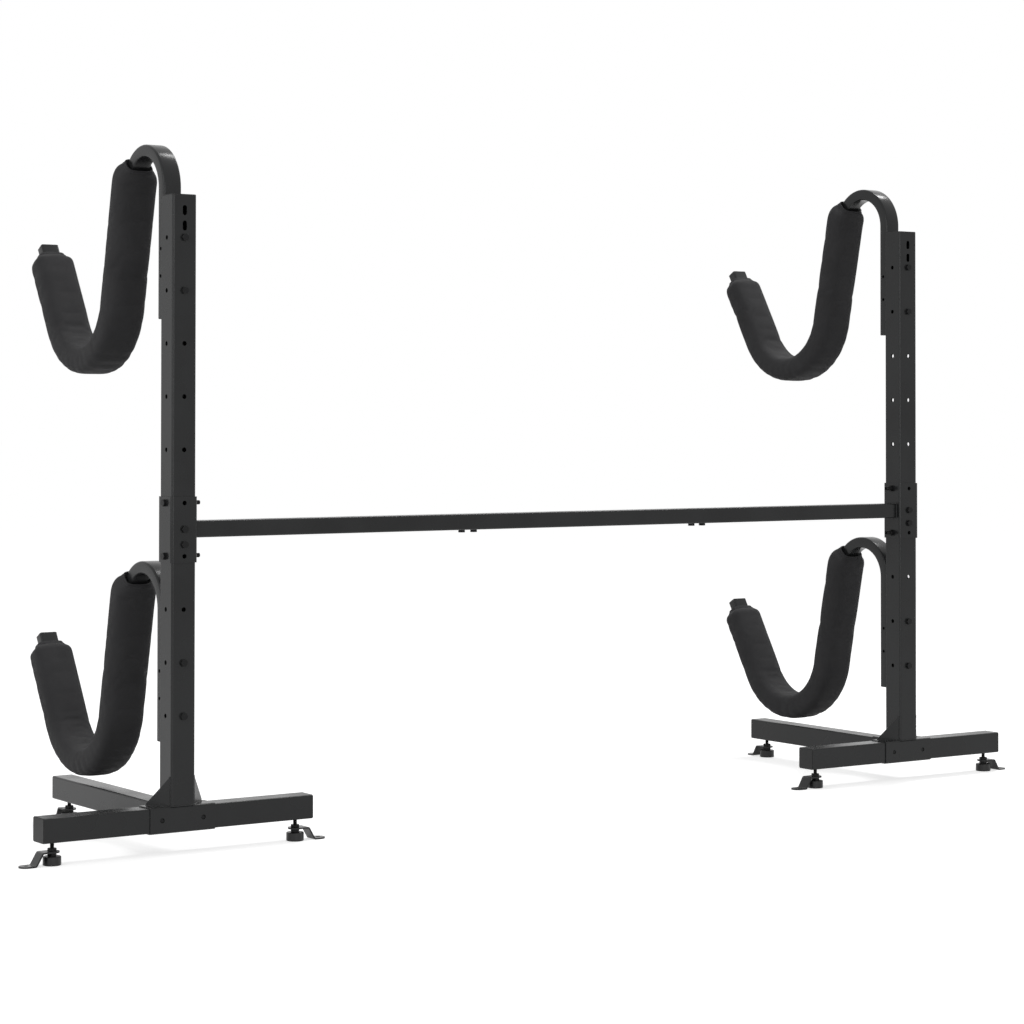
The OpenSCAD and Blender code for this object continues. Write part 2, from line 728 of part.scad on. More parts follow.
at_origin() for (s = SIDES) at_side(s) {
    lower_post();
    upper_post();
    mid_sleeve();
    base_sleeve();
    leg_outer();
    leg_inner();
    stem_leg();
    gussets();
    end_caps();
    sleeve_bolts();
    base_bolts();
    hook_bolts();
    frame_nuts();
    at_row(upper_hook_row) hook_tube();
    at_row(lower_hook_row) hook_tube();
    at_row(upper_hook_row) pad_sleeve();
    at_row(lower_hook_row) pad_sleeve();
    union() {
        at_row(upper_hook_row) hook_cap_pair();
        at_row(lower_hook_row) hook_cap_pair();
    }
    for (f = FEET) at_foot(f) {
        foot_cup();
        foot_stud();
        anchor_strap();
    }
}
at_origin() bar_tube(-bar_x, -bar_seam);  // crossbar_left
at_origin() bar_tube(-bar_seam, bar_seam);  // crossbar_centre
at_origin() bar_tube(bar_seam, bar_x);  // crossbar_right
at_origin() crossbar_couplers();
at_origin() crossbar_bolts();
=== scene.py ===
"""Dresses a freestanding kayak rack: padded hook sleeves, swept hook tubes, welds,
threads and finishes, on a studio floor. The rack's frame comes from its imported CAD."""

import json
import math
import random

import bmesh
import bpy
import numpy as np
from mathutils import Matrix, Vector
from mathutils.bvhtree import BVHTree

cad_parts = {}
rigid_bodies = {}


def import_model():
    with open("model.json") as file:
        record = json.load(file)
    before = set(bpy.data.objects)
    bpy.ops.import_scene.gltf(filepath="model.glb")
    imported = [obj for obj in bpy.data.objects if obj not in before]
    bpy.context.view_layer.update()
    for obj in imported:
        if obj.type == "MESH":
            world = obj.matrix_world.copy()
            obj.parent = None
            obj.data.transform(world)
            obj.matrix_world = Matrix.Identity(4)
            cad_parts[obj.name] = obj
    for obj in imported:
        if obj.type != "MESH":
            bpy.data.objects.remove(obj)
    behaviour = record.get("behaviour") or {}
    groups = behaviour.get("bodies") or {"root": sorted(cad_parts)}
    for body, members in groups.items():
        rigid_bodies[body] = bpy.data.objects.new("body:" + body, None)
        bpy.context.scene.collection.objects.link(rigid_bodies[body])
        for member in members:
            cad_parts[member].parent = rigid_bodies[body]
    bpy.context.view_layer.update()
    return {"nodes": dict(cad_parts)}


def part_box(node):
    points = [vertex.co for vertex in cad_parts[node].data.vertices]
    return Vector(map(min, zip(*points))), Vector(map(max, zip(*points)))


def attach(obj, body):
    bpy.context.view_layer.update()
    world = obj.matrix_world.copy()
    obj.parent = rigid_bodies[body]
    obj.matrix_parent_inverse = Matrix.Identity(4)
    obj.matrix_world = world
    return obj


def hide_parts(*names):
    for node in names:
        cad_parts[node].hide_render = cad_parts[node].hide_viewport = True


bl_info = {
    "name": "Kayak Rack Dressing",
    "version": (1, 0, 0),
    "blender": (4, 5, 0),
    "location": "3D View > Sidebar > Kayak Rack",
    "description": "Padded hooks, welds, threads and finishes for a kayak rack",
    "category": "Object",
}

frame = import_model()
MM = 0.001
SIDES = ("left", "right")
FEET = ("outer", "inner", "back")
LEVELS = ("upper", "lower")
HOOKS = [(level, side) for level in LEVELS for side in SIDES]


def middle(node):
    """Middle of a CAD node's box."""
    lo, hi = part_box(node)
    return (lo + hi) / 2


POST_X = {side: middle(f"lower_post_{side}").x for side in SIDES}
POST_Y = middle("lower_post_left").y
POST_W = 50 * MM

# The hook's centre line, in a (y, z) plane with the upper bolt at z = 0 and the post at y = 0.
# Directions are in degrees from +Y to +Z.
ROW_PITCH, HOOK_TAIL = 100 * MM, 50 * MM
HOOK_W, HOOK_T, HOOK_WALL, HOOK_CORNER = 38 * MM, 24 * MM, 2 * MM, 4 * MM
CROWN_UP, CROWN_R, CROWN_START = 96 * MM, 77 * MM, 90.0
ARM_DIR = 12 - 90.0
BEND_R, TIP_DIR, TIP_LEN = 134 * MM, 90 - 31.0, 198 * MM
BEND_STEPS = 56
LEG_Y = POST_W / 2 + HOOK_T / 2
HOOK_ROWS = {"upper": 1158 * MM, "lower": 358 * MM}  # heights of the hooks' upper bolts
CRADLE_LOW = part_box("hook_lower_left")[0].z - HOOK_ROWS["lower"]
BOLT_HOLE_R = 4.5 * MM
VENT_D, VENT_DROP, VENT_PITCH = 7 * MM, 19 * MM, 52 * MM

# Bolts and studs
BOLT_D, THREAD_PITCH, STUD_CORE = 8 * MM, 1.25 * MM, 3.4 * MM
BOLT_PAST, SIDE_BOLT_PAST = 2.5 * MM, 11 * MM  # bolt ends left standing beyond their nuts
THREAD_IN, THREAD_OUT = 0.1 * MM, 0.2 * MM  # core and crest, from the skin of a plain bolt
FOOT_AF, FOOT_NUT_H, LOCK_NUT_H = 16 * MM, 6.5 * MM, 5.3 * MM
SLEEVE_ROWS = (5, 6)  # rows of the mid sleeve's side bolts, below the upper hook's first

# Padded sleeves: where they start on the crown in degrees, and the bare end of the tip arm
PAD_START, TIP_BARE = 45.0, 20 * MM
SEAM_DIP = 2.4 * MM  # how far the long seam draws the cloth in
CLOTH_ROUND = 0.19  # width of the cloth's UV map, in metres
SWELL_PRESSURE, SWELL_FRAMES, SWELL_CAP = 4.0, 20, 9 * MM
PINNED, GATHERED, LOOSE, SEAMED = 1.0, 0.4, 0.06, 0.5  # how firmly the cloth is held
TUCK_DEPTH, TUCK_REACH, TUCK_GAP = (0.3, 2.6), (9, 14), (17, 27)  # in millimetres

# Weld seams
CORNER_IN = 3 * MM  # seams stop this short of a tube's corners
GUSSET_RUN, GUSSET_T, GUSSET_SET = 46 * MM, 3 * MM, 6 * MM


def toward(angle):
    """Unit (y, z) vector at an angle in degrees from +Y to +Z."""
    return Vector((math.cos(math.radians(angle)), math.sin(math.radians(angle))))


def steps(start, end, count):
    """Even steps from start to end, both included."""
    return [start + (end - start) * i / count for i in range(count + 1)]


def even_oval(half_w, half_t, power, count):
    """Points evenly spaced round a squarish oval, from its +X side towards its outer side."""
    angles = np.linspace(0, 2 * math.pi, 721)
    x = half_w * np.sign(np.cos(angles)) * np.abs(np.cos(angles)) ** (2 / power)
    y = half_t * np.sign(np.sin(angles)) * np.abs(np.sin(angles)) ** (2 / power)
    run = np.concatenate(([0.0], np.cumsum(np.hypot(np.diff(x), np.diff(y)))))
    at = np.arange(count) / count * run[-1]
    return list(zip(np.interp(at, run, x).tolist(), np.interp(at, run, y).tolist()))


class HookPath:
    """Centre line of a hook: straight leg, crown, arm, cradle bend and tip arm."""

    def __init__(self):
        self.low = Vector((LEG_Y, -ROW_PITCH - HOOK_TAIL))
        self.crown_c = Vector((LEG_Y + CROWN_R, CROWN_UP))
        self.crown_end = self.crown_c + CROWN_R * toward(ARM_DIR + 90)
        bend_drop = BEND_R * (1 - toward(ARM_DIR + 90).y) + HOOK_T / 2
        self.arm_len = (self.crown_end.y - bend_drop - CRADLE_LOW) / -toward(ARM_DIR).y
        self.arm_end = self.crown_end + self.arm_len * toward(ARM_DIR)
        self.bend_c = self.arm_end + BEND_R * toward(ARM_DIR + 90)
        self.bend_end = self.bend_c + BEND_R * toward(TIP_DIR - 90)
        self.crown_s = CROWN_UP - self.low.y
        self.arm_s = self.crown_s + CROWN_R * math.radians(CROWN_START - ARM_DIR)
        self.bend_s = self.arm_s + self.arm_len
        self.tip_s = self.bend_s + BEND_R * math.radians(TIP_DIR - ARM_DIR)
        self.length = self.tip_s + TIP_LEN
        self.pad_s0 = self.crown_s + CROWN_R * math.radians(180 - PAD_START)
        self.pad_s1 = self.length - TIP_BARE

    def at(self, s):
        """(y, z) point and direction in degrees, at the length s from the lower end."""
        if s < self.crown_s:
            return self.low + Vector((0, s)), 90.0
        if s < self.arm_s:
            a = 180 - math.degrees((s - self.crown_s) / CROWN_R)
            return self.crown_c + CROWN_R * toward(a), a - 90
        if s < self.bend_s:
            return self.crown_end + (s - self.arm_s) * toward(ARM_DIR), ARM_DIR
        if s < self.tip_s:
            a = ARM_DIR - 90 + math.degrees((s - self.bend_s) / BEND_R)
            return self.bend_c + BEND_R * toward(a), a + 90
        return self.bend_end + (s - self.tip_s) * toward(TIP_DIR), TIP_DIR

    def point(self, s, across, out):
        """3D point: across is along +X, out is to the path's right seen from +X, which is
        away from the kayak along the arm, the cradle and the tip."""
        p, direction = self.at(s)
        q = p + out * toward(direction - 90)
        return Vector((across, q.x, q.y))


PATH = HookPath()


def hook_origin(level, side):
    """Where a hook's upper bolt crosses the post's axis."""
    return Vector((POST_X[side], POST_Y, HOOK_ROWS[level]))


# ---- Mesh helpers ----


def mesh_object(name, points, faces):
    """New mesh object from points and faces."""
    mesh = bpy.data.meshes.new(name)
    mesh.from_pydata([tuple(p) for p in points], [], faces)
    mesh.update()
    return add(name, mesh)


def add(name, data):
    """New object in the scene for a mesh, curve, lamp or camera."""
    obj = bpy.data.objects.new(name, data)
    bpy.context.scene.collection.objects.link(obj)
    return obj


def from_bmesh(name, bm):
    """New mesh object from a bmesh, which is freed."""
    mesh = bpy.data.meshes.new(name)
    bm.to_mesh(mesh)
    bm.free()
    return add(name, mesh)


def remove(*objects):
    """Deletes objects."""
    for obj in objects:
        bpy.data.objects.remove(obj, do_unlink=True)


def to_mesh(obj):
    """Turns an object's evaluated shape into its own plain mesh, with no modifiers left."""
    depsgraph = bpy.context.evaluated_depsgraph_get()
    mesh = bpy.data.meshes.new_from_object(obj.evaluated_get(depsgraph))
    name = obj.name
    remove(obj)
    mesh.name = name
    return add(name, mesh)


def soften(obj, angle=32.0):
    """Smooth shading, with the edges sharper than angle kept crisp."""
    obj.data.shade_smooth()
    obj.data.set_sharp_from_angle(angle=math.radians(angle))
    return obj


def dress(obj, material):
    """Gives an object one material."""
    obj.data.materials.clear()
    obj.data.materials.append(material)
    return obj


def join(name, *objects):
    """Joins plain mesh objects into one."""
    bm = bmesh.new()
    for obj in objects:
        bm.from_mesh(obj.data)
    remove(*objects)
    return from_bmesh(name, bm)


def loop_faces(rings, around):
    """Quads between closed rings of points, with the last ring joined to the first."""
    return [(r * around + i, r * around + (i + 1) % around,
             (r + 1) % rings * around + (i + 1) % around, (r + 1) % rings * around + i)
            for r in range(rings) for i in range(around)]


def hexagon_nut(base, across_flats, height, bore, around=48):
    """Nut with turned corners, standing on its base point, with its bore along Z."""
    flat = across_flats / 2
    turned = 0.97 * flat
    points = []
    for profile in range(6):
        for i in range(around):
            angle = 360 * i / around
            edge = flat / math.cos(math.radians(angle % 60 - 30))
            drop = (edge - turned) * math.tan(math.radians(30))
            r, z = ((bore, 0), (turned, 0), (edge, drop), (edge, height - drop),
                    (turned, height), (bore, height))[profile]
            spoke = toward(angle)
            points.append(base + Vector((r * spoke.x, r * spoke.y, z)))
    return mesh_object("nut", points, loop_faces(6, around))


def add_cylinder(bm, start, end, radius, segments=32):
    """Adds a closed cylinder between two points to a bmesh."""
    axis = Vector(end) - Vector(start)
    turn = axis.to_track_quat("Z", "Y").to_matrix().to_4x4()
    place = Matrix.Translation((Vector(start) + Vector(end)) / 2) @ turn
    bmesh.ops.create_cone(bm, cap_ends=True, segments=segments, radius1=radius,
                          radius2=radius, depth=axis.length, matrix=place)


def drill(obj, cutters):
    """Takes closed cylinders (start, end, radius) out of an object."""
    bm = bmesh.new()
    for start, end, radius in cutters:
        add_cylinder(bm, start, end, radius)
    tool = from_bmesh("cutter", bm)
    boolean = obj.modifiers.new("holes", "BOOLEAN")
    boolean.operation, boolean.solver, boolean.object = "DIFFERENCE", "EXACT", tool
    result = to_mesh(obj)
    remove(tool)
    return result


# ---- Geometry Nodes helpers ----


class Nodes:
    """A node tree under construction."""

    def __init__(self, tree):
        self.tree = tree

    def socket(self, label, kind, default=None, side="INPUT"):
        """Adds a named input or output to the tree itself."""
        made = self.tree.interface.new_socket(label, in_out=side, socket_type=f"NodeSocket{kind}")
        if default is not None:
            made.default_value = default

    def wire(self, source, target):
        """Links an output to an input."""
        self.tree.links.new(source, target)

    def node(self, kind, links=None, **settings):
        """Adds a node; links maps its inputs to sockets or values."""
        made = self.tree.nodes.new(kind)
        for key, value in settings.items():
            setattr(made, key, value)
        for key, value in (links or {}).items():
            if isinstance(value, bpy.types.NodeSocket):
                self.tree.links.new(value, made.inputs[key])
            else:
                made.inputs[key].default_value = value
        return made


class Tree(Nodes):
    """A Geometry Nodes tree under construction."""

    def __init__(self, name, **inputs):
        super().__init__(bpy.data.node_groups.new(name, "GeometryNodeTree"))
        self.socket("Geometry", "Geometry")
        self.socket("Geometry", "Geometry", side="OUTPUT")
        for label, (kind, default) in inputs.items():
            self.socket(label, kind, default)
        self.given = self.node("NodeGroupInput")
        self.result = self.node("NodeGroupOutput")

    def end(self, geometry):
        """Realizes the instances, sets the material and closes the tree."""
        real = self.node("GeometryNodeRealizeInstances", {0: geometry})
        painted = self.node("GeometryNodeSetMaterial",
                            {"Geometry": real.outputs[0],
                             "Material": self.given.outputs["Material"]})
        self.wire(painted.outputs[0], self.result.inputs[0])
        return self.tree


def run_tree(obj, tree, **values):
    """Runs a tree on an object and returns the plain mesh object that it makes."""
    modifier = obj.modifiers.new(tree.name, "NODES")
    modifier.node_group = tree
    for item in tree.interface.items_tree:
        if item.in_out == "INPUT" and item.name in values:
            modifier[item.identifier] = values[item.name]
    return to_mesh(obj)


def path_object(name, paths):
    """Curve object of straight-sided splines through lists of points."""
    curve = bpy.data.curves.new(name, "CURVE")
    curve.dimensions = "3D"
    for points in paths:
        spline = curve.splines.new("POLY")
        spline.points.add(len(points) - 1)
        for slot, p in zip(spline.points, points):
            slot.co = (*p, 1)
    return add(name, curve)


def tube_tree():
    """Rounded rectangle swept along a path that lies in a plane across X."""
    t = Tree("swept_tube", Width=("Float", 0.038), Depth=("Float", 0.024),
             Corner=("Float", 0.004), Material=("Material", None))
    given = t.given.outputs
    square = t.node("GeometryNodeCurvePrimitiveQuadrilateral",
                    {"Width": given["Width"], "Height": given["Depth"]})
    soft = t.node("GeometryNodeFilletCurve", {"Curve": square.outputs[0],
                                              "Radius": given["Corner"], "Count": 6},
                  mode="POLY")
    across = t.node("GeometryNodeSetCurveNormal", {"Curve": given["Geometry"],
                                                   "Normal": (1, 0, 0)}, mode="FREE")
    swept = t.node("GeometryNodeCurveToMesh", {"Curve": across.outputs[0],
                                               "Profile Curve": soft.outputs[0]})
    return t.end(swept.outputs[0])


def grain_tree(name, per_piece, **inputs):
    """Tree that sets one small shape, made by per_piece, at even steps along its paths."""
    t = Tree(name, Pitch=("Float", 0.0015), Seed=("Int", 0), **inputs, Material=("Material", None))
    given = t.given.outputs
    even = t.node("GeometryNodeResampleCurve", {"Curve": given["Geometry"],
                                                "Length": given["Pitch"]}, mode="LENGTH")
    spots = t.node("GeometryNodeCurveToPoints", {"Curve": even.outputs[0]}, mode="EVALUATED")
    shape, jitter = per_piece(t, given)
    size = t.node("FunctionNodeRandomValue", {2: 1 - jitter, 3: 1 + jitter,
                                              "Seed": given["Seed"]}, data_type="FLOAT")
    along = t.node("FunctionNodeAlignRotationToVector", {"Vector": spots.outputs["Tangent"]},
                   axis="Z")
    placed = t.node("GeometryNodeInstanceOnPoints",
                    {"Points": spots.outputs["Points"], "Instance": shape,
                     "Rotation": along.outputs[0], "Scale": size.outputs[1]})
    return t.end(placed.outputs[0])


def ball(t, radius, stretch, segments, rings):
    """Small ball with few faces, stretched along Z."""
    round_piece = t.node("GeometryNodeMeshUVSphere", {"Segments": segments, "Rings": rings,
                                                      "Radius": radius})
    shaped = t.node("GeometryNodeTransform", {"Geometry": round_piece.outputs[0],
                                              "Scale": (1, 1, stretch)})
    return shaped.outputs[0]


def bead_tree():
    """Weld bead: overlapping flat ripples along the seam."""
    return grain_tree("weld_bead", lambda t, given: (ball(t, given["Radius"], 0.75, 10, 5), 0.14),
                      Radius=("Float", 0.0019))


def stitch_tree():
    """Stitches: short thick threads along a path."""
    return grain_tree("stitches", lambda t, given: (ball(t, given["Radius"], 4.0, 6, 4), 0.08),
                      Radius=("Float", 0.00045))


def thread_tree():
    """Threaded rods: a core and the ridge wound round it, from each marked point along its axis."""
    t = Tree("threaded_rod", Radius=("Float", 0.004), Core=("Float", 0.0034),
             Pitch=("Float", 0.00125), Length=("Float", 0.01), Material=("Material", None))
    given = t.given.outputs

    def number(operation, a, b):
        return t.node("ShaderNodeMath", {0: a, 1: b}, operation=operation).outputs[0]

    def lifted(geometry, height, scale=1.0):
        place = t.node("ShaderNodeCombineXYZ", {"Z": number("MULTIPLY", height, scale)})
        return t.node("GeometryNodeTransform", {"Geometry": geometry,
                                                "Translation": place.outputs[0]}).outputs[0]

    core = t.node("GeometryNodeMeshCylinder", {"Vertices": 24, "Radius": given["Core"],
                                               "Depth": given["Length"]})
    wound = number("SUBTRACT", given["Length"], given["Pitch"])
    helix = t.node("GeometryNodeCurveSpiral",
                   {"Resolution": 20, "Rotations": number("DIVIDE", wound, given["Pitch"]),
                    "Start Radius": given["Core"], "End Radius": given["Core"], "Height": wound})
    upright = t.node("GeometryNodeSetCurveNormal", {"Curve": helix.outputs[0]}, mode="Z_UP")
    depth = number("SUBTRACT", given["Radius"], given["Core"])
    ridge = t.node("GeometryNodeCurvePrimitiveCircle", {"Resolution": 4, "Radius": depth},
                   mode="RADIUS")
    swept = t.node("GeometryNodeCurveToMesh", {"Curve": upright.outputs[0], "Fill Caps": True,
                                               "Profile Curve": ridge.outputs[0]})
    whole = t.node("GeometryNodeJoinGeometry")
    for piece in (lifted(core.outputs[0], given["Length"], 0.5),
                  lifted(swept.outputs[0], given["Pitch"], 0.5)):
        t.wire(piece, whole.inputs[0])
    axis = t.node("GeometryNodeInputNamedAttribute", {"Name": "axis"}, data_type="FLOAT_VECTOR")
    turn = t.node("FunctionNodeAlignRotationToVector", {"Vector": axis.outputs[0]}, axis="Z")
    spots = t.node("GeometryNodeMeshToPoints", {"Mesh": given["Geometry"]})
    placed = t.node("GeometryNodeInstanceOnPoints",
                    {"Points": spots.outputs[0], "Instance": whole.outputs[0],
                     "Rotation": turn.outputs[0]})
    return t.end(placed.outputs[0])


# ---- Shader helpers ----


class Shade(Nodes):
    """A shader node tree under construction: a material's, or a group's."""

    def math(self, operation, a, b=0.0, clamp=False):
        return self.node("ShaderNodeMath", {0: a, 1: b}, operation=operation,
                         use_clamp=clamp).outputs[0]

    def remap(self, value, low, high, to_low=0.0, to_high=1.0):
        links = {"Value": value, "From Min": low, "From Max": high, "To Min": to_low,
                 "To Max": to_high}
        return self.node("ShaderNodeMapRange", links,
                         interpolation_type="SMOOTHSTEP").outputs["Result"]

    def noise(self, where, scale, detail=2.0, rough=0.5):
        links = {"Vector": where, "Scale": scale, "Detail": detail, "Roughness": rough}
        return self.node("ShaderNodeTexNoise", links).outputs["Fac"]

    def blend(self, factor, a, b):
        """Colour between a and b."""
        return self.node("ShaderNodeMix", {0: factor, 6: a, 7: b}, data_type="RGBA").outputs[2]


def shader_group(name, inputs, outputs):
    """New shader group and its (Shade, input sockets, output node)."""
    s = Shade(bpy.data.node_groups.new(name, "ShaderNodeTree"))
    for label, kind, default in inputs:
        s.socket(label, kind, default)
    for label, kind in outputs:
        s.socket(label, kind, side="OUTPUT")
    return s, s.node("NodeGroupInput").outputs, s.node("NodeGroupOutput")


def masked(s, where, patches, amount, out):
    """Ends a group whose output is a patchy mask."""
    mask = s.math("MULTIPLY", s.math("MULTIPLY", where, patches), amount, True)
    s.wire(mask, out.inputs["Mask"])
    return s.tree


def edge_wear_group():
    """Mask that is 1 on worn crisp edges, broken up by noise."""
    s, given, out = shader_group("edge_wear", [("Position", "Vector", None),
                                               ("Radius", "Float", 0.001),
                                               ("Amount", "Float", 0.5),
                                               ("Patchiness", "Float", 90.0)], [("Mask", "Float")])
    soft = s.node("ShaderNodeBevel", {"Radius": given["Radius"]}, samples=6)
    flat = s.node("ShaderNodeNewGeometry")
    dot = s.node("ShaderNodeVectorMath", {0: soft.outputs[0], 1: flat.outputs["Normal"]},
                 operation="DOT_PRODUCT")
    edge = s.remap(dot.outputs["Value"], 0.995, 0.80)
    patch = s.remap(s.noise(given["Position"], given["Patchiness"], 4.0, 0.6), 0.38, 0.62)
    return masked(s, edge, patch, given["Amount"], out)


def dust_group():
    """Mask of the dust that settles on what faces up."""
    s, given, out = shader_group("settled_dust", [("Position", "Vector", None),
                                                  ("Amount", "Float", 0.3),
                                                  ("Scale", "Float", 35.0)], [("Mask", "Float")])
    flat = s.node("ShaderNodeNewGeometry")
    up = s.node("ShaderNodeSeparateXYZ", {0: flat.outputs["Normal"]})
    facing = s.remap(up.outputs["Z"], 0.55, 1.0)
    specks = s.remap(s.noise(given["Position"], given["Scale"], 6.0, 0.7), 0.42, 0.68)
    return masked(s, facing, specks, given["Amount"], out)


def grain_group():
    """Fine surface grain: a height for a bump and a slow variation for tone and gloss."""
    s, given, out = shader_group("grain", [("Position", "Vector", None), ("Fine", "Float", 900.0),
                                           ("Slow", "Float", 9.0)],
                                 [("Height", "Float"), ("Variation", "Float")])
    fine = s.noise(given["Position"], given["Fine"], 2.0, 0.45)
    slow = s.noise(given["Position"], given["Slow"], 3.0, 0.55)
    s.wire(fine, out.inputs["Height"])
    s.wire(slow, out.inputs["Variation"])
    return s.tree


def weave_group():
    """Plain weave over a UV map in metres: thread height and which thread is on top."""
    s, given, out = shader_group("plain_weave", [("UV", "Vector", None),
                                                 ("Threads per metre", "Float", 900.0)],
                                 [("Height", "Float"), ("Warp", "Float")])
    scaled = s.node("ShaderNodeVectorMath", {0: given["UV"], 3: given["Threads per metre"]},
                    operation="SCALE")
    xyz = s.node("ShaderNodeSeparateXYZ", {0: scaled.outputs[0]})
    u, v = xyz.outputs["X"], xyz.outputs["Y"]
    pi_u, pi_v = s.math("MULTIPLY", u, math.pi), s.math("MULTIPLY", v, math.pi)
    over_u = s.math("ABSOLUTE", s.math("SINE", pi_u))
    over_v = s.math("ABSOLUTE", s.math("SINE", pi_v))
    check = s.math("MULTIPLY", s.math("SIGN", s.math("SINE", pi_u)),
                   s.math("SIGN", s.math("SINE", pi_v)))
    warp = s.remap(check, -1.0, 1.0)
    height = s.math("ADD", s.math("MULTIPLY", over_u, warp),
                    s.math("MULTIPLY", over_v, s.math("SUBTRACT", 1.0, warp)))
    s.wire(height, out.inputs["Height"])
    s.wire(warp, out.inputs["Warp"])
    return s.tree


class Finishes:
    """The rack's materials, made once."""

    def __init__(self):
        self.groups = {"wear": edge_wear_group(), "dust": dust_group(), "grain": grain_group(),
                       "weave": weave_group()}

    def group(self, s, name, links):
        """Adds one of the shader groups and returns its outputs."""
        return s.node("ShaderNodeGroup", links, node_tree=self.groups[name]).outputs

    def start(self, name, roughness, specular):
        """New material, its Shade, its shader node and the Object coordinates."""
        material = bpy.data.materials.new(name)
        material.use_nodes = True
        s = Shade(material.node_tree)
        bsdf = material.node_tree.nodes["Principled BSDF"]
        bsdf.inputs["Roughness"].default_value = roughness
        bsdf.inputs["Specular IOR Level"].default_value = specular
        where = s.node("ShaderNodeTexCoord").outputs["Object"]
        return material, s, bsdf, where

    def bump(self, s, bsdf, height, distance, strength=1.0):
        """Turns a height into the shader's normal."""
        made = s.node("ShaderNodeBump", {"Height": height, "Distance": distance,
                                         "Strength": strength})
        s.wire(made.outputs[0], bsdf.inputs["Normal"])

    def hard(self, name, colour, worn, roughness, specular, fine, bump, wear, dust):
        """Coated or moulded hard surface with grain, edge wear and a little dust."""
        spread = 0.12
        material, s, bsdf, where = self.start(name, roughness, specular)
        grain = self.group(s, "grain", {"Position": where, "Fine": fine, "Slow": 7.0})
        edges = self.group(s, "wear", {"Position": where, "Radius": 0.0012, "Amount": wear})
        settled = self.group(s, "dust", {"Position": where, "Amount": dust})
        lighter = tuple(min(1.0, c * 1.35) for c in colour[:3]) + (1.0,)
        tone = s.blend(s.remap(grain["Variation"], 0.3, 0.7), colour, lighter)
        tone = s.blend(edges["Mask"], tone, worn)
        tone = s.blend(settled["Mask"], tone, (0.30, 0.29, 0.27, 1.0))
        s.wire(tone, bsdf.inputs["Base Color"])
        gloss = s.remap(grain["Variation"], 0.3, 0.7, roughness - spread / 2,
                        roughness + spread / 2)
        gloss = s.math("ADD", gloss, s.math("MULTIPLY", settled["Mask"], 0.15), True)
        s.wire(gloss, bsdf.inputs["Roughness"])
        self.bump(s, bsdf, grain["Height"], bump)
        return material

    def fabric(self, name, colour):
        """Coated woven polyester: plain weave on the piece's own UV map, in metres."""
        material, s, bsdf, where = self.start(name, 0.72, 0.10)
        bsdf.inputs["Sheen Weight"].default_value = 0.04
        bsdf.inputs["Sheen Roughness"].default_value = 0.45
        uv = s.node("ShaderNodeUVMap", uv_map="cloth").outputs[0]
        weave = self.group(s, "weave", {"UV": uv, "Threads per metre": 1250.0})
        grain = self.group(s, "grain", {"Position": where, "Fine": 260.0, "Slow": 14.0})
        settled = self.group(s, "dust", {"Position": where, "Amount": 0.10})
        lighter = tuple(min(1.0, c * 1.45) for c in colour[:3]) + (1.0,)
        tone = s.blend(s.math("MULTIPLY", weave["Warp"], 0.5), colour, lighter)
        tone = s.blend(s.remap(grain["Variation"], 0.35, 0.7, 0.0, 0.5), tone, lighter)
        tone = s.blend(settled["Mask"], tone, (0.20, 0.195, 0.185, 1.0))
        s.wire(tone, bsdf.inputs["Base Color"])
        gloss = s.remap(weave["Height"], 0.0, 1.0, 0.84, 0.64)
        s.wire(gloss, bsdf.inputs["Roughness"])
        height = s.math("ADD", s.math("MULTIPLY", weave["Height"], 0.4),
                        s.math("MULTIPLY", grain["Height"], 0.6))
        self.bump(s, bsdf, height, 0.0005, 0.8)
        return material


MATERIALS = {}
# Key, material, colour, worn colour, roughness, specular, grain's scale, bump, wear, dust
HARD_FINISHES = (
    ("coat", "powder_coat", "coat", "worn", 0.27, 0.24, 480.0, 0.00005, 0.5, 0.06),
    ("plastic", "cap_plastic", "plastic", "worn", 0.5, 0.3, 2200.0, 0.00008, 0.3, 0.12),
    ("cup", "cup_plastic", "plastic", "worn", 0.38, 0.35, 1500.0, 0.00005, 0.3, 0.10),
    ("bolts", "bolt_black", "bolts", "worn_bolts", 0.42, 0.16, 1800.0, 0.00004, 0.6, 0.05),
    ("thread", "sewing_thread", "thread", "worn", 0.7, 0.2, 3000.0, 0.0001, 0.0, 0.1),
)


# ---- Settings ----


def colour(name, description, default):
    """Colour setting."""
    return bpy.props.FloatVectorProperty(name=name, description=description, subtype="COLOR",
                                         size=4, min=0, max=1, default=default)


class RackColours(bpy.types.PropertyGroup):
    """Colours of the rack's finishes."""

    coat: colour("Powder coat", "Colour of the coated steel tubes", (0.0155, 0.0160, 0.0165, 1))
    worn: colour("Worn edge", "Colour of an edge that has rubbed", (0.055, 0.056, 0.058, 1))
    worn_bolts: colour("Worn bolts", "Colour of the bolts' rubbed edges", (0.09, 0.085, 0.08, 1))
    plastic: colour("Cap plastic", "Colour of the moulded caps and cups",
                    (0.0095, 0.0095, 0.0098, 1))
    bolts: colour("Bolts", "Colour of the blackened bolts and nuts", (0.0080, 0.0082, 0.0086, 1))
    thread: colour("Sewing thread", "Colour of the sleeves' stitches", (0.045, 0.045, 0.048, 1))
    fabric: colour("Pad fabric", "Colour of the sleeves' cloth", (0.0350, 0.0347, 0.0362, 1))


def size(name, description, low, high, default):
    """Length setting."""
    return bpy.props.FloatProperty(name=name, description=description, subtype="DISTANCE",
                                   min=low, max=high, default=default)


class RackSizes(bpy.types.PropertyGroup):
    """Sizes of the pieces that are made here."""

    pad_width: size("Pad width", "Width of a padded sleeve", 0.06, 0.09, 0.085)
    pad_depth: size("Pad depth", "Depth of a padded sleeve", 0.04, 0.07, 0.0575)
    pad_swell: size("Pad swell", "Room left for the cloth to swell into", 0.0, 0.01, 0.0004)


def turn(name, description, degrees):
    """Angle setting."""
    return bpy.props.FloatProperty(name=name, description=description, subtype="ANGLE",
                                   default=math.radians(degrees))


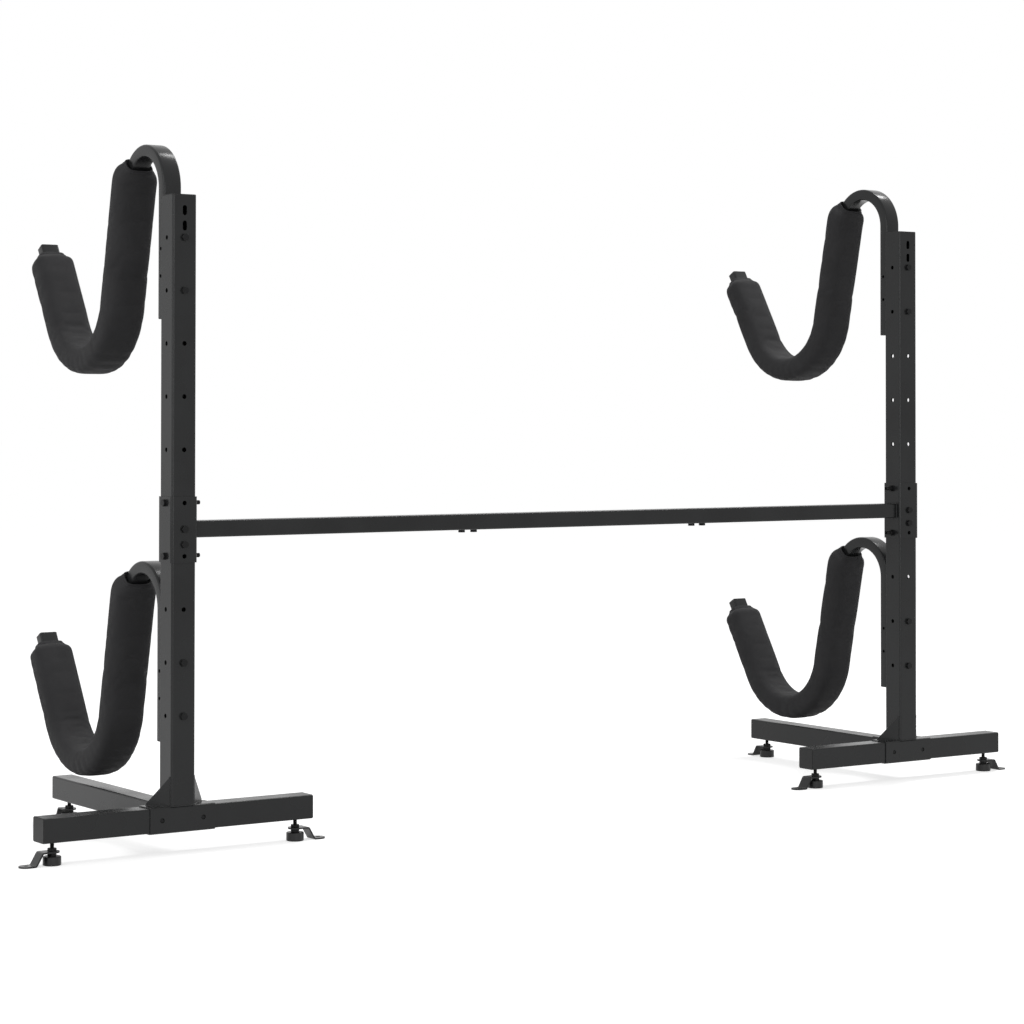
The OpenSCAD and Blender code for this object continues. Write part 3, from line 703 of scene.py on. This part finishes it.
class StageSettings(bpy.types.PropertyGroup):
    """Camera settings."""

    place: bpy.props.FloatVectorProperty(
        name="Camera place", description="Where the camera stands", subtype="TRANSLATION",
        default=(-3.2597, -4.8424, 0.8279))
    yaw: turn("Yaw", "Camera's turn from +Y towards +X", 34.2686)
    pitch: turn("Pitch", "Camera's tilt above the horizon", 0.9336)
    roll: turn("Roll", "Camera's roll", 0.0549)
    lens: bpy.props.FloatProperty(
        name="Lens", description="Focal length on a 36 mm sensor", unit="CAMERA",
        default=94.762)
    rise: bpy.props.FloatProperty(
        name="Vertical shift", description="Camera shift that frames the rack",
        default=-0.13964)


# ---- Operators ----


class RACK_OT_stage(bpy.types.Operator):
    """Camera, floor, world and lamps"""

    bl_idname = "rack.stage"
    bl_label = "Build the stage"

    def execute(self, context):
        scene, stage = context.scene, context.scene.rack_stage
        scene.view_settings.view_transform = "Standard"
        camera = bpy.data.cameras.new("camera")
        camera.lens, camera.sensor_width, camera.shift_y = stage.lens, 36.0, stage.rise
        camera.clip_start, camera.clip_end = 0.05, 200.0
        eye = add("camera", camera)
        cy, cp = math.cos(stage.yaw), math.cos(stage.pitch)
        ahead = Vector((math.sin(stage.yaw) * cp, cy * cp, math.sin(stage.pitch)))
        right = Vector((cy, -math.sin(stage.yaw), 0))
        up = right.cross(ahead)
        right, up = (right * math.cos(stage.roll) + up * math.sin(stage.roll),
                     up * math.cos(stage.roll) - right * math.sin(stage.roll))
        turn = Matrix((right, up, -ahead)).transposed().to_4x4()
        eye.matrix_world = Matrix.Translation(stage.place) @ turn
        scene.camera = eye
        self.world(scene)
        far = 60
        floor = mesh_object("floor", [(-far, -far, 0), (far, -far, 0), (far, far, 0),
                                      (-far, far, 0)], [(0, 1, 2, 3)])
        dress(floor, self.floor_material())
        self.lamp("key_softbox", (-4.4, -1.4, 1.9), (0, 0, 0.6), 2.6, 2.6, 48)
        self.lamp("fill_softbox", (-1.4, -5.6, 1.3), (0, 0, 0.6), 2.2, 2.2, 50)
        self.lamp("strip_softbox", (2.1, 0.45, 4.6), (0, -0.2, 1.3), 0.4, 2.8, 80)
        return {"FINISHED"}

    def world(self, scene):
        """White studio, dimmer as a light than it looks to the camera."""
        world = bpy.data.worlds.new("studio")
        world.use_nodes = True
        s = Shade(world.node_tree)
        back = world.node_tree.nodes["Background"]
        back.inputs["Color"].default_value = (1, 1, 1, 1)
        s.wire(s.remap(self.seen(s), 0.0, 1.0, 0.50, 1.0), back.inputs["Strength"])
        scene.world = world

    def floor_material(self):
        """White to the camera and in reflections, and it keeps the rack's soft shadow."""
        material = bpy.data.materials.new("studio_floor")
        material.use_nodes = True
        s = Shade(material.node_tree)
        bsdf = material.node_tree.nodes["Principled BSDF"]
        bsdf.inputs["Roughness"].default_value = 0.95
        bsdf.inputs["Specular IOR Level"].default_value = 0.0
        bsdf.inputs["Emission Color"].default_value = (1, 1, 1, 1)
        seen = self.seen(s)
        s.wire(s.blend(seen, (0.22, 0.22, 0.22, 1), (0.80, 0.80, 0.80, 1)),
               bsdf.inputs["Base Color"])
        s.wire(s.math("MULTIPLY", seen, 0.60), bsdf.inputs["Emission Strength"])
        return material

    def seen(self, s):
        """1 for rays that show the background: straight, mirrored or let through."""
        path = s.node("ShaderNodeLightPath").outputs
        return s.math("MAXIMUM", path["Is Camera Ray"],
                      s.math("MAXIMUM", path["Is Glossy Ray"], path["Is Transmission Ray"]))

    def lamp(self, name, place, target, width, length, watts):
        """Softbox that shines at its target, with its length in the XZ plane."""
        light = bpy.data.lights.new(name, "AREA")
        light.shape, light.size, light.size_y, light.energy = "RECTANGLE", width, length, watts
        lamp = add(name, light)
        back = (Vector(place) - Vector(target)).normalized()
        side = Vector((0, 1, 0)).cross(back).normalized().cross(back)
        turn = Matrix((side, back.cross(side), back)).transposed()
        lamp.matrix_world = Matrix.Translation(place) @ turn.to_4x4()


class RACK_OT_finishes(bpy.types.Operator):
    """Materials for the steel, plastic, bolts and cloth, put on every CAD node"""

    bl_idname = "rack.finishes"
    bl_label = "Mix the finishes"

    def execute(self, context):
        c, f = context.scene.rack_colours, Finishes()
        for key, name, tint, worn, *look in HARD_FINISHES:
            MATERIALS[key] = f.hard(name, tuple(getattr(c, tint)), tuple(getattr(c, worn)), *look)
        MATERIALS["fabric"] = f.fabric("pad_fabric", tuple(c.fabric))
        for name, node in frame["nodes"].items():
            if name.startswith(("end_caps", "hook_caps")):
                dressed = MATERIALS["plastic"]
            elif name.startswith("foot_cup"):
                dressed = MATERIALS["cup"]
            elif "bolts" in name or "nuts" in name or name.startswith("foot_stud"):
                dressed = MATERIALS["bolts"]
            elif name.startswith("pad_"):
                dressed = MATERIALS["fabric"]
            else:
                dressed = MATERIALS["coat"]
            for place in node.material_slots:
                place.material = dressed
        return {"FINISHED"}


class RACK_OT_hook_tubes(bpy.types.Operator):
    """The four bent hook tubes, drilled for their bolts and vented"""

    bl_idname = "rack.hook_tubes"
    bl_label = "Bend the hook tubes"

    def execute(self, context):
        tree = tube_tree()
        spots = [0.0]
        for start, end in ((PATH.crown_s, PATH.arm_s), (PATH.bend_s, PATH.tip_s)):
            spots += steps(start, end, BEND_STEPS)
        spots.append(PATH.length)
        for level, side in HOOKS:
            origin = hook_origin(level, side)
            line = path_object(f"hook_tube_{level}_{side}",
                               [[origin + PATH.point(s, 0, 0) for s in spots]])
            tube = run_tree(line, tree, Width=HOOK_W, Depth=HOOK_T, Corner=HOOK_CORNER,
                            Material=MATERIALS["coat"])
            wall = tube.modifiers.new("wall", "SOLIDIFY")
            wall.thickness, wall.offset = HOOK_WALL, -1
            tube = to_mesh(tube)
            tube = drill(tube, self.holes(origin))
            dress(soften(tube), MATERIALS["coat"])
            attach(tube, "rack")
            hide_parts(f"hook_{level}_{side}")
        return {"FINISHED"}

    def holes(self, origin):
        """The tube's bolt holes and vents, as cylinders (start, end, radius)."""
        made = []
        for i in (0, 1):
            at = origin + Vector((0, LEG_Y, -i * ROW_PITCH))
            reach = Vector((0, HOOK_T, 0))
            made.append((at - reach, at + reach, BOLT_HOLE_R))
            at = origin + Vector((0, LEG_Y, -VENT_DROP - i * VENT_PITCH))
            reach = Vector((HOOK_W, 0, 0))
            made.append((at - reach, at + reach, VENT_D / 2))
        return made


class RACK_OT_pads(bpy.types.Operator):
    """The four padded sleeves, modelled plump and settled by a short cloth simulation"""

    bl_idname = "rack.pads"
    bl_label = "Stuff the padded sleeves"

    def execute(self, context):
        for number, (level, side) in enumerate(HOOKS):
            pad = self.sleeve(f"pad_sleeve_{level}_{side}", hook_origin(level, side), number,
                              context.scene.rack_sizes)
            dress(pad, MATERIALS["fabric"])
            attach(pad, "rack")
            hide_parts(f"pad_{level}_{side}")
        return {"FINISHED"}

    def sleeve(self, name, origin, number, sizes):
        """A shell of quads: outer skin, drawn-in ends with a recess, and the bore on the tube."""
        around, step, bore_gap = 48, 4.6 * MM, 0.7 * MM
        rows = int((PATH.pad_s1 - PATH.pad_s0) / step)
        bore_w, bore_t = HOOK_W / 2 + bore_gap, HOOK_T / 2 + bore_gap
        half_w = sizes.pad_width / 2 - sizes.pad_swell
        half_t = sizes.pad_depth / 2 - sizes.pad_swell
        tapers, hem, hem_step = (28 * MM, 17 * MM), 8 * MM, 0.7 * MM
        mouth, lip, recess, section, bore_section = 0.34, 2.2 * MM, 8 * MM, 3.7, 8
        tucks = self.tucks(number)
        rings, hold = [], []

        def ring(s, w, t, power, crease=0.0, seam=0.0):
            points = []
            for i, (across, out) in enumerate(even_oval(w, t, power, around)):
                pull = 1 - (crease * max(0.0, out / t + 0.35) + (0 if i else seam)) / (w + t)
                points.append(origin + PATH.point(s, pull * across, pull * out))
            return points

        for r, s in enumerate(steps(PATH.pad_s0, PATH.pad_s1, rows)):
            near, taper = min(zip((s - PATH.pad_s0, PATH.pad_s1 - s), tapers))
            e = min(1.0, max(0.0, 1 - (near - hem) / taper))
            full = mouth + (1 - mouth) * math.sqrt(1 - e * e)
            fold = hem_step if near < hem else 0.0
            rings.append(ring(s, bore_w + (half_w - bore_w) * full + fold,
                              bore_t + (half_t - bore_t) * full + fold, section,
                              self.crease(tucks, s), SEAM_DIP * full))
            drawn = min(abs(s - at) for at, _, _ in tucks) < step / 2
            held = GATHERED if near < hem or drawn else LOOSE
            hold.append(PINNED if r in (0, rows) else held)
        outer_count = len(rings)
        mouth_w = bore_w + (half_w - bore_w) * mouth - lip
        mouth_t = bore_t + (half_t - bore_t) * mouth - lip
        near_s, far_s = PATH.pad_s0 + recess, PATH.pad_s1 - recess
        rings += [ring(s, mouth_w, mouth_t, section) for s in (PATH.pad_s1, far_s)]
        rings += [ring(s, bore_w, bore_t, bore_section) for s in steps(far_s, near_s, rows // 3)]
        rings += [ring(s, mouth_w, mouth_t, section) for s in (near_s, PATH.pad_s0)]
        hold += [PINNED] * (len(rings) - outer_count)
        points = [p for one in rings for p in one]
        pad = mesh_object(name, points, loop_faces(len(rings), around))
        self.flatten_map(pad, rings, around)
        group = pad.vertex_groups.new(name="pin")
        for r, weight in enumerate(hold):
            group.add([r * around + i for i in range(1, around)], weight, "REPLACE")
            group.add([r * around], max(weight, SEAMED), "REPLACE")
        self.swell(pad)
        smooth = pad.modifiers.new("finer", "SUBSURF")
        smooth.levels = smooth.render_levels = 1
        pad = to_mesh(pad)
        pad.data.shade_smooth()
        return pad

    def tucks(self, number):
        """Places along the sleeve where the cloth is drawn in, and how deep."""
        rng = random.Random(40 + number)
        made, s = [], PATH.pad_s0 + 20 * MM
        while s < PATH.pad_s1 - 12 * MM:
            bend = max(0.0, 1 - abs(s - (PATH.bend_s + PATH.tip_s) / 2) / (190 * MM))
            tip = max(0.0, 1 - (PATH.pad_s1 - s) / (130 * MM))
            slack = max(bend, tip)
            made.append((s, (TUCK_DEPTH[0] + TUCK_DEPTH[1] * slack) * rng.uniform(0.4, 1.0) * MM,
                         rng.uniform(*TUCK_REACH) * MM))
            s += rng.uniform(*TUCK_GAP) * (2.2 - 1.2 * min(1, 2 * slack)) * MM
        return made

    def crease(self, tucks, s):
        """Depth of the cloth's cross creases at a place along the sleeve."""
        return sum(depth * max(0.0, 1 - abs(s - at) / reach) for at, depth, reach in tucks)

    def flatten_map(self, pad, rings, around):
        """UV map in metres: along the sleeve, and round it from its +X side."""
        uv = pad.data.uv_layers.new(name="cloth")
        gap = [0.0]
        for a, b in zip(rings, rings[1:] + rings[:1]):
            gap.append(gap[-1] + sum((p - q).length for p, q in zip(a, b)) / around)
        width = CLOTH_ROUND / around
        for poly in pad.data.polygons:
            r, i = divmod(poly.index, around)
            corners = ((r, i), (r, i + 1), (r + 1, i + 1), (r + 1, i))
            for loop, (rr, ii) in zip(poly.loop_indices, corners):
                uv.data[loop].uv = (gap[rr], ii * width)

    def swell(self, pad):
        """Settles the modelled sleeve by a short cloth simulation under pressure, which moves
        it by 0.3 mm on average and 3.2 mm at most; the cap only guards against a bad run."""
        scene = bpy.context.scene
        rest = np.array([v.co for v in pad.data.vertices])
        cloth = pad.modifiers.new("cloth", "CLOTH")
        c = cloth.settings
        c.quality, c.mass, c.air_damping = 6, 0.25, 2.0
        c.tension_stiffness = c.compression_stiffness = 12
        c.shear_stiffness, c.bending_stiffness = 5, 1.2
        c.use_pressure, c.uniform_pressure_force = True, SWELL_PRESSURE
        c.vertex_group_mass = "pin"
        c.pin_stiffness = 1.0
        c.shrink_min = -0.004
        c.effector_weights.gravity = 0
        cloth.collision_settings.use_collision = False
        for step in range(1, SWELL_FRAMES + 1):
            scene.frame_set(step)
        depsgraph = bpy.context.evaluated_depsgraph_get()
        shape = pad.evaluated_get(depsgraph).to_mesh()
        moved = np.array([v.co for v in shape.vertices])
        pad.evaluated_get(depsgraph).to_mesh_clear()
        pad.modifiers.remove(cloth)
        scene.frame_set(1)
        shift = moved - rest
        length = np.linalg.norm(shift, axis=1)
        shift *= np.minimum(1.0, SWELL_CAP / np.maximum(length, 1e-9))[:, None]
        pad.data.vertices.foreach_set("co", (rest + shift).astype(np.float32).ravel())
        pad.data.update()


class RACK_OT_stitches(bpy.types.Operator):
    """Stitches of the sleeves' hems and of the seam along their +X side"""

    bl_idname = "rack.stitches"
    bl_label = "Sew the sleeves"

    def execute(self, context):
        tree = stitch_tree()
        for level, side in HOOKS:
            pad = bpy.data.objects[f"pad_sleeve_{level}_{side}"]
            skin = BVHTree.FromObject(pad, bpy.context.evaluated_depsgraph_get())
            rows = self.rows(skin, hook_origin(level, side))
            thread = run_tree(path_object(f"stitches_{level}_{side}", rows), tree,
                              Material=MATERIALS["thread"], Seed=len(rows) + len(level + side))
            soften(thread, 80)
            thread.parent = pad
        return {"FINISHED"}

    def rows(self, skin, origin):
        """Paths on the sleeve's skin: two rows beside the seam and one round each hem."""
        reach, from_seam, from_hem, short = 60 * MM, 3.4 * MM, 6.5 * MM, 4 * MM
        seam = steps(PATH.pad_s0 + short, PATH.pad_s1 - short, 260)
        made = [[self.on_skin(skin, origin, s, reach, beside) for s in seam]
                for beside in (-from_seam, from_seam)]
        for s in (PATH.pad_s0 + from_hem, PATH.pad_s1 - from_hem):
            row = [self.on_skin(skin, origin, s, across, out)
                   for across, out in even_oval(reach, reach, 2, 96)]
            made.append(row + row[:1])
        return made

    def on_skin(self, skin, origin, s, across, out):
        """Point just above the sleeve's skin, seen from outside at this place."""
        start, centre = origin + PATH.point(s, across, out), origin + PATH.point(s, 0, 0)
        if abs(out) < abs(across) / 10:
            centre += PATH.point(s, 0, out) - PATH.point(s, 0, 0)
        hit, normal, _, _ = skin.ray_cast(start, (centre - start).normalized())
        if hit is None:
            raise RuntimeError("a stitch finds no sleeve below it")
        return hit + normal * 0.25 * MM


class RACK_OT_welds(bpy.types.Operator):
    """Weld beads between the posts, their T sleeves, the gussets and the crossbar"""

    bl_idname = "rack.welds"
    bl_label = "Weld the frames"

    def execute(self, context):
        tree = bead_tree()
        for number, side in enumerate(SIDES):
            beads = run_tree(path_object(f"weld_beads_{side}", self.seams(side)), tree,
                             Radius=1.5 * MM, Pitch=1.2 * MM, Seed=number,
                             Material=MATERIALS["coat"])
            beads.data.shade_smooth()
            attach(beads, "rack")
        return {"FINISHED"}

    def seams(self, side):
        """Paths of one frame's weld seams."""
        post = Vector((POST_X[side], POST_Y, 0))
        half, top = POST_W / 2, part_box(f"base_sleeve_{side}")[1].z
        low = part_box(f"base_sleeve_{side}")[0].z
        inset = CORNER_IN
        ring = [(half - inset, -half), (half, -half + inset), (half, half - inset),
                (half - inset, half), (inset - half, half), (-half, half - inset),
                (-half, inset - half), (inset - half, -half)]
        made = [[post + Vector((x, y, top)) for x, y in ring + ring[:1]]]
        lo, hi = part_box(f"gussets_{side}")
        height, skin = hi.z - lo.z, GUSSET_T / math.sqrt(2)
        for s in (-1, 1):
            foot = Vector((s * half, -half + GUSSET_SET, 0))
            along = Vector((s, 1, 0)).normalized()
            for face in (-skin, skin):
                corner = post + foot + Vector((0, face, top))
                made.append([corner + Vector((0, 0, height)), corner, corner + along * GUSSET_RUN])
        for s in (-1, 1):
            made.append([post + Vector((s * half, half, z)) for z in (low + inset, top - inset)])
        made.append([post + Vector((x, half, top)) for x in (inset - half, half - inset)])
        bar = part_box(f"crossbar_{side}")
        inner = bar[0].x if side == "left" else bar[1].x
        square = [(bar[0].y, bar[0].z), (bar[1].y, bar[0].z), (bar[1].y, bar[1].z),
                  (bar[0].y, bar[1].z), (bar[0].y, bar[0].z)]
        made.append([Vector((inner, y, z)) for y, z in square])
        return made


class RACK_OT_threads(bpy.types.Operator):
    """Threads on the levelling studs and on the bolts' ends"""

    bl_idname = "rack.threads"
    bl_label = "Cut the threads"

    def execute(self, context):
        tree = thread_tree()
        for side in SIDES:
            for foot in FEET:
                lo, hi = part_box(f"foot_stud_{side}_{foot}")
                start = middle(f"foot_stud_{side}_{foot}")
                start.z = lo.z
                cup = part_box(f"foot_cup_{side}_{foot}")[1].z
                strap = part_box(f"anchor_strap_{side}_{foot}")[1].z
                fixed = hexagon_nut(Vector((start.x, start.y, cup)), FOOT_AF, FOOT_NUT_H,
                                    BOLT_D / 2)
                lock = hexagon_nut(Vector((start.x, start.y, strap)), FOOT_AF, LOCK_NUT_H,
                                   BOLT_D / 2)
                stud = self.make_rod(tree, f"stud_{side}_{foot}", [start], (0, 0, 1),
                                     STUD_CORE, BOLT_D / 2, hi.z - lo.z,
                                     f"foot_{side}_{foot}", fixed, lock)
                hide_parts(f"foot_stud_{side}_{foot}")
            for name, starts, axis, length in (
                    ("hook", self.hook_ends(side), (0, 1, 0), BOLT_PAST),
                    ("sleeve", self.sleeve_ends(side), (1, 0, 0), SIDE_BOLT_PAST)):
                self.make_rod(tree, f"{name}_bolt_threads_{side}", starts, axis,
                              BOLT_D / 2 - THREAD_IN, BOLT_D / 2 + THREAD_OUT, length, "rack")
        return {"FINISHED"}

    def hook_ends(self, side):
        """Where the threads of the hook bolts' ends start, beyond their nuts."""
        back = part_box(f"hook_bolts_{side}")[1].y - BOLT_PAST
        return [Vector((POST_X[side], back, HOOK_ROWS[level] - i * ROW_PITCH))
                for level in LEVELS for i in (0, 1)]

    def sleeve_ends(self, side):
        """Lowest x of the mid sleeve's side bolts' ends, which stand beyond their nuts."""
        lo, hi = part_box(f"sleeve_bolts_{side}")
        start = hi.x - SIDE_BOLT_PAST if side == "left" else lo.x
        return [Vector((start, POST_Y, HOOK_ROWS["upper"] - row * ROW_PITCH))
                for row in SLEEVE_ROWS]

    def make_rod(self, tree, name, starts, axis, core, radius, length, body, *nuts):
        """Threaded rods of one piece, from their starts along an axis, with the nuts on them."""
        holder = mesh_object(name, starts, [])
        marks = holder.data.attributes.new("axis", "FLOAT_VECTOR", "POINT")
        for mark in marks.data:
            mark.vector = axis
        rod = run_tree(holder, tree, Radius=radius, Core=core, Pitch=THREAD_PITCH, Length=length,
                       Material=MATERIALS["bolts"])
        rod = soften(join(name, rod, *nuts), 25)
        dress(rod, MATERIALS["bolts"])
        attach(rod, body)
        return rod


class RACK_PT_panel(bpy.types.Panel):
    """Sidebar panel of the rack's builders"""

    bl_idname = "RACK_PT_panel"
    bl_label = "Kayak Rack"
    bl_space_type = "VIEW_3D"
    bl_region_type = "UI"
    bl_category = "Kayak Rack"

    def draw(self, context):
        for group in (context.scene.rack_sizes, context.scene.rack_colours,
                      context.scene.rack_stage):
            box = self.layout.box()
            for name in group.__annotations__:
                box.prop(group, name)
        for operator in OPERATORS:
            self.layout.operator(operator.bl_idname)


GROUPS = {"rack_sizes": RackSizes, "rack_colours": RackColours, "rack_stage": StageSettings}
OPERATORS = [RACK_OT_stage, RACK_OT_finishes, RACK_OT_hook_tubes, RACK_OT_pads,
             RACK_OT_stitches, RACK_OT_welds, RACK_OT_threads]


def register():
    for cls in (*GROUPS.values(), *OPERATORS, RACK_PT_panel):
        bpy.utils.register_class(cls)
    for name, cls in GROUPS.items():
        setattr(bpy.types.Scene, name, bpy.props.PointerProperty(type=cls))


def unregister():
    for name in GROUPS:
        delattr(bpy.types.Scene, name)
    for cls in (RACK_PT_panel, *reversed(OPERATORS), *reversed(GROUPS.values())):
        bpy.utils.unregister_class(cls)


def main():
    register()
    for operator in OPERATORS:
        group, name = operator.bl_idname.split(".")
        getattr(getattr(bpy.ops, group), name)()


if __name__ == "__main__":
    main()
